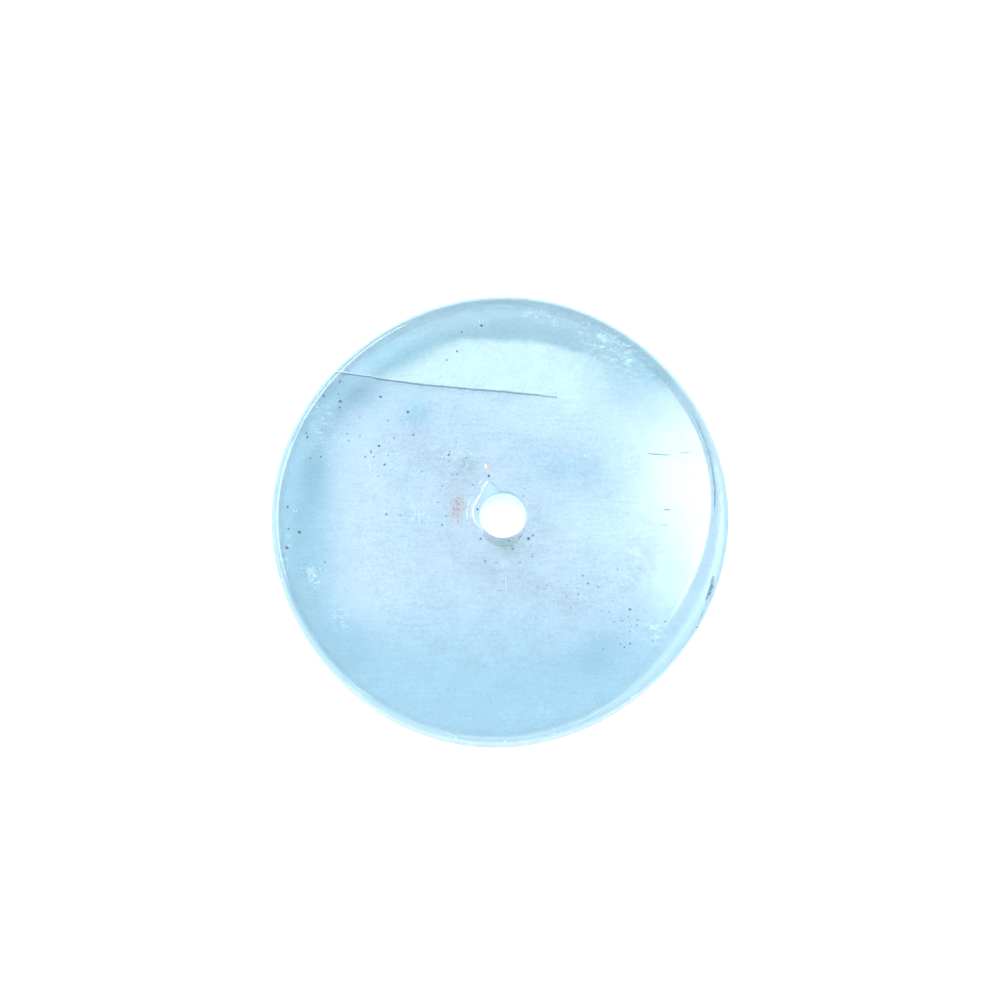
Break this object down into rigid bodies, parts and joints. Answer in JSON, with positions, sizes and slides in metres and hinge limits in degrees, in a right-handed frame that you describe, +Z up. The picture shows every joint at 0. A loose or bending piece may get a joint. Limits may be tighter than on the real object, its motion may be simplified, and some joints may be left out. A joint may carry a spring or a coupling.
{
  "type": "drilled stone disc",
  "caption": "Flat round disc of polished pale blue translucent stone with a small drilled hole near its middle, for threading on a cord.",
  "frame": {"origin": "centre of the disc's outline, at its back face, which it lies on", "axes": "+Z up through the thickness, from the back face to the front face; -Y is the near side"},
  "size_m": [0.04, 0.0404, 0.0054],
  "materials": {
    "polished_stone": "polished, pale blue translucent stone with hazy zones and small mineral grains inside"
  },
  "bodies": {
    "root": {"stone_disc": "polished_stone"}
  },
  "joints": []
}
